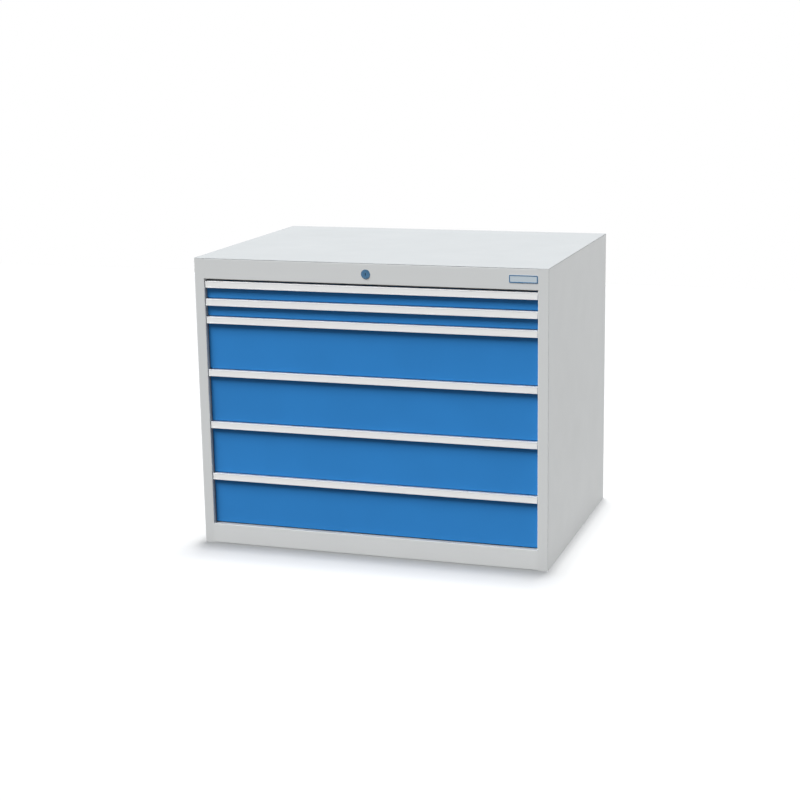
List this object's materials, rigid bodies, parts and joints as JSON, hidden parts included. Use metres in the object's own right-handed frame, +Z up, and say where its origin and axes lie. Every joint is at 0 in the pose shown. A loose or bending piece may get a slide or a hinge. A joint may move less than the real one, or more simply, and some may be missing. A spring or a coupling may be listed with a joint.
{
  "type": "drawer cabinet",
  "caption": "Free-standing steel workshop cabinet with full-width drawers on roller runners, handle strips and a central cylinder lock.",
  "frame": {"origin": "on the floor under the middle of the casing", "axes": "+X to the right along the cabinet's width, -Y out of the fronts, +Z up"},
  "size_m": [1.005, 0.738, 0.819],
  "materials": {
    "casing_paint": "light grey powder coat",
    "front_paint": "blue powder coat",
    "handle_finish": "satin anodised",
    "tray_paint": "light grey powder coat",
    "runner_steel": "zinc plated",
    "roller_steel": "turned",
    "lock_chrome": "polished",
    "plate_metal": "satin"
  },
  "bodies": {
    "root": {"right_wall": "casing_paint", "left_wall": "casing_paint", "top_cover": "casing_paint", "cover_stiffeners": "casing_paint", "top_front_rail": "casing_paint", "base_front_rail": "casing_paint", "base_rear_rail": "casing_paint", "floor_panel": "casing_paint", "back_panel": "casing_paint", "runner_uprights": "casing_paint", "cabinet_rails": "runner_steel", "lock_housing": "lock_chrome", "lock_guides": "runner_steel", "brand_plate": "plate_metal"},
    "lock": {"lock_plug": "lock_chrome", "lock_cam": "runner_steel"},
    "lock_link": {"lock_link": "runner_steel"},
    "lock_bar": {"lock_bar": "runner_steel"},
    "drawer_1": {"drawer_1_tray": "tray_paint", "drawer_1_front": "front_paint", "drawer_1_handle": "handle_finish"},
    "middle_1": {"drawer_1_middle_rails": "runner_steel"},
    "front_rollers_1": {"drawer_1_front_rollers": "roller_steel"},
    "middle_rollers_1": {"drawer_1_middle_rollers": "roller_steel"},
    "rear_rollers_1": {"drawer_1_rear_rollers": "roller_steel"},
    "drawer_2": {"drawer_2_tray": "tray_paint", "drawer_2_front": "front_paint", "drawer_2_handle": "handle_finish"},
    "middle_2": {"drawer_2_middle_rails": "runner_steel"},
    "front_rollers_2": {"drawer_2_front_rollers": "roller_steel"},
    "middle_rollers_2": {"drawer_2_middle_rollers": "roller_steel"},
    "rear_rollers_2": {"drawer_2_rear_rollers": "roller_steel"},
    "drawer_3": {"drawer_3_tray": "tray_paint", "drawer_3_front": "front_paint", "drawer_3_handle": "handle_finish"},
    "middle_3": {"drawer_3_middle_rails": "runner_steel"},
    "front_rollers_3": {"drawer_3_front_rollers": "roller_steel"},
    "middle_rollers_3": {"drawer_3_middle_rollers": "roller_steel"},
    "rear_rollers_3": {"drawer_3_rear_rollers": "roller_steel"},
    "drawer_4": {"drawer_4_tray": "tray_paint", "drawer_4_front": "front_paint", "drawer_4_handle": "handle_finish"},
    "middle_4": {"drawer_4_middle_rails": "runner_steel"},
    "front_rollers_4": {"drawer_4_front_rollers": "roller_steel"},
    "middle_rollers_4": {"drawer_4_middle_rollers": "roller_steel"},
    "rear_rollers_4": {"drawer_4_rear_rollers": "roller_steel"},
    "drawer_5": {"drawer_5_tray": "tray_paint", "drawer_5_front": "front_paint", "drawer_5_handle": "handle_finish"},
    "middle_5": {"drawer_5_middle_rails": "runner_steel"},
    "front_rollers_5": {"drawer_5_front_rollers": "roller_steel"},
    "middle_rollers_5": {"drawer_5_middle_rollers": "roller_steel"},
    "rear_rollers_5": {"drawer_5_rear_rollers": "roller_steel"},
    "drawer_6": {"drawer_6_tray": "tray_paint", "drawer_6_front": "front_paint", "drawer_6_handle": "handle_finish"},
    "middle_6": {"drawer_6_middle_rails": "runner_steel"},
    "front_rollers_6": {"drawer_6_front_rollers": "roller_steel"},
    "middle_rollers_6": {"drawer_6_middle_rollers": "roller_steel"},
    "rear_rollers_6": {"drawer_6_rear_rollers": "roller_steel"}
  },
  "joints": [
    {"name": "drawer_1_slide", "type": "slide", "parent": "root", "child": "drawer_1", "axis": [0, -1, 0], "range_m": [0, 0.6]},
    {"name": "middle_1_slide", "type": "slide", "parent": "root", "child": "middle_1", "axis": [0, -1, 0], "range_m": [0, 0.3]},
    {"name": "front_rollers_1_turn", "type": "hinge", "parent": "middle_1", "child": "front_rollers_1", "pos_m": [0, -0.3225, 0.723], "axis": [1, 0, 0], "range_deg": [0, 1563]},
    {"name": "middle_rollers_1_turn", "type": "hinge", "parent": "middle_1", "child": "middle_rollers_1", "pos_m": [0, -0.015, 0.723], "axis": [1, 0, 0], "range_deg": [0, 1563]},
    {"name": "rear_rollers_1_turn", "type": "hinge", "parent": "middle_1", "child": "rear_rollers_1", "pos_m": [0, 0.33, 0.723], "axis": [1, 0, 0], "range_deg": [0, 1563]},
    {"name": "drawer_2_slide", "type": "slide", "parent": "root", "child": "drawer_2", "axis": [0, -1, 0], "range_m": [0, 0.6]},
    {"name": "middle_2_slide", "type": "slide", "parent": "root", "child": "middle_2", "axis": [0, -1, 0], "range_m": [0, 0.3]},
    {"name": "front_rollers_2_turn", "type": "hinge", "parent": "middle_2", "child": "front_rollers_2", "pos_m": [0, -0.3225, 0.673], "axis": [1, 0, 0], "range_deg": [0, 1563]},
    {"name": "middle_rollers_2_turn", "type": "hinge", "parent": "middle_2", "child": "middle_rollers_2", "pos_m": [0, -0.015, 0.673], "axis": [1, 0, 0], "range_deg": [0, 1563]},
    {"name": "rear_rollers_2_turn", "type": "hinge", "parent": "middle_2", "child": "rear_rollers_2", "pos_m": [0, 0.33, 0.673], "axis": [1, 0, 0], "range_deg": [0, 1563]},
    {"name": "drawer_3_slide", "type": "slide", "parent": "root", "child": "drawer_3", "axis": [0, -1, 0], "range_m": [0, 0.6]},
    {"name": "middle_3_slide", "type": "slide", "parent": "root", "child": "middle_3", "axis": [0, -1, 0], "range_m": [0, 0.3]},
    {"name": "front_rollers_3_turn", "type": "hinge", "parent": "middle_3", "child": "front_rollers_3", "pos_m": [0, -0.3225, 0.523], "axis": [1, 0, 0], "range_deg": [0, 1563]},
    {"name": "middle_rollers_3_turn", "type": "hinge", "parent": "middle_3", "child": "middle_rollers_3", "pos_m": [0, -0.015, 0.523], "axis": [1, 0, 0], "range_deg": [0, 1563]},
    {"name": "rear_rollers_3_turn", "type": "hinge", "parent": "middle_3", "child": "rear_rollers_3", "pos_m": [0, 0.33, 0.523], "axis": [1, 0, 0], "range_deg": [0, 1563]},
    {"name": "drawer_4_slide", "type": "slide", "parent": "root", "child": "drawer_4", "axis": [0, -1, 0], "range_m": [0, 0.6]},
    {"name": "middle_4_slide", "type": "slide", "parent": "root", "child": "middle_4", "axis": [0, -1, 0], "range_m": [0, 0.3]},
    {"name": "front_rollers_4_turn", "type": "hinge", "parent": "middle_4", "child": "front_rollers_4", "pos_m": [0, -0.3225, 0.373], "axis": [1, 0, 0], "range_deg": [0, 1563]},
    {"name": "middle_rollers_4_turn", "type": "hinge", "parent": "middle_4", "child": "middle_rollers_4", "pos_m": [0, -0.015, 0.373], "axis": [1, 0, 0], "range_deg": [0, 1563]},
    {"name": "rear_rollers_4_turn", "type": "hinge", "parent": "middle_4", "child": "rear_rollers_4", "pos_m": [0, 0.33, 0.373], "axis": [1, 0, 0], "range_deg": [0, 1563]},
    {"name": "drawer_5_slide", "type": "slide", "parent": "root", "child": "drawer_5", "axis": [0, -1, 0], "range_m": [0, 0.6]},
    {"name": "middle_5_slide", "type": "slide", "parent": "root", "child": "middle_5", "axis": [0, -1, 0], "range_m": [0, 0.3]},
    {"name": "front_rollers_5_turn", "type": "hinge", "parent": "middle_5", "child": "front_rollers_5", "pos_m": [0, -0.3225, 0.223], "axis": [1, 0, 0], "range_deg": [0, 1563]},
    {"name": "middle_rollers_5_turn", "type": "hinge", "parent": "middle_5", "child": "middle_rollers_5", "pos_m": [0, -0.015, 0.223], "axis": [1, 0, 0], "range_deg": [0, 1563]},
    {"name": "rear_rollers_5_turn", "type": "hinge", "parent": "middle_5", "child": "rear_rollers_5", "pos_m": [0, 0.33, 0.223], "axis": [1, 0, 0], "range_deg": [0, 1563]},
    {"name": "drawer_6_slide", "type": "slide", "parent": "root", "child": "drawer_6", "axis": [0, -1, 0], "range_m": [0, 0.6]},
    {"name": "middle_6_slide", "type": "slide", "parent": "root", "child": "middle_6", "axis": [0, -1, 0], "range_m": [0, 0.3]},
    {"name": "front_rollers_6_turn", "type": "hinge", "parent": "middle_6", "child": "front_rollers_6", "pos_m": [0, -0.3225, 0.073], "axis": [1, 0, 0], "range_deg": [0, 1563]},
    {"name": "middle_rollers_6_turn", "type": "hinge", "parent": "middle_6", "child": "middle_rollers_6", "pos_m": [0, -0.015, 0.073], "axis": [1, 0, 0], "range_deg": [0, 1563]},
    {"name": "rear_rollers_6_turn", "type": "hinge", "parent": "middle_6", "child": "rear_rollers_6", "pos_m": [0, 0.33, 0.073], "axis": [1, 0, 0], "range_deg": [0, 1563]},
    {"name": "lock_turn", "type": "hinge", "parent": "root", "child": "lock", "pos_m": [0, -0.36, 0.789], "axis": [0, 1, 0], "range_deg": [0, 90]},
    {"name": "lock_link_slide", "type": "slide", "parent": "root", "child": "lock_link", "axis": [1, 0, 0], "range_m": [0, 0.01131]},
    {"name": "lock_bar_slide", "type": "slide", "parent": "root", "child": "lock_bar", "axis": [0, 0, -1], "range_m": [0, 0.01131]}
  ],
  "couplings": [
    {"joint": "middle_1_slide", "follows": "drawer_1_slide", "ratio": 0.5},
    {"joint": "front_rollers_1_turn", "follows": "drawer_1_slide", "rad_per_m": 45.455},
    {"joint": "middle_rollers_1_turn", "follows": "drawer_1_slide", "rad_per_m": 45.455},
    {"joint": "rear_rollers_1_turn", "follows": "drawer_1_slide", "rad_per_m": 45.455},
    {"joint": "middle_2_slide", "follows": "drawer_2_slide", "ratio": 0.5},
    {"joint": "front_rollers_2_turn", "follows": "drawer_2_slide", "rad_per_m": 45.455},
    {"joint": "middle_rollers_2_turn", "follows": "drawer_2_slide", "rad_per_m": 45.455},
    {"joint": "rear_rollers_2_turn", "follows": "drawer_2_slide", "rad_per_m": 45.455},
    {"joint": "middle_3_slide", "follows": "drawer_3_slide", "ratio": 0.5},
    {"joint": "front_rollers_3_turn", "follows": "drawer_3_slide", "rad_per_m": 45.455},
    {"joint": "middle_rollers_3_turn", "follows": "drawer_3_slide", "rad_per_m": 45.455},
    {"joint": "rear_rollers_3_turn", "follows": "drawer_3_slide", "rad_per_m": 45.455},
    {"joint": "middle_4_slide", "follows": "drawer_4_slide", "ratio": 0.5},
    {"joint": "front_rollers_4_turn", "follows": "drawer_4_slide", "rad_per_m": 45.455},
    {"joint": "middle_rollers_4_turn", "follows": "drawer_4_slide", "rad_per_m": 45.455},
    {"joint": "rear_rollers_4_turn", "follows": "drawer_4_slide", "rad_per_m": 45.455},
    {"joint": "middle_5_slide", "follows": "drawer_5_slide", "ratio": 0.5},
    {"joint": "front_rollers_5_turn", "follows": "drawer_5_slide", "rad_per_m": 45.455},
    {"joint": "middle_rollers_5_turn", "follows": "drawer_5_slide", "rad_per_m": 45.455},
    {"joint": "rear_rollers_5_turn", "follows": "drawer_5_slide", "rad_per_m": 45.455},
    {"joint": "middle_6_slide", "follows": "drawer_6_slide", "ratio": 0.5},
    {"joint": "front_rollers_6_turn", "follows": "drawer_6_slide", "rad_per_m": 45.455},
    {"joint": "middle_rollers_6_turn", "follows": "drawer_6_slide", "rad_per_m": 45.455},
    {"joint": "rear_rollers_6_turn", "follows": "drawer_6_slide", "rad_per_m": 45.455},
    {"joint": "lock_turn", "follows": "lock_link_slide", "rad_per_m": 138.84},
    {"joint": "lock_bar_slide", "follows": "lock_link_slide", "ratio": 1}
  ]
}
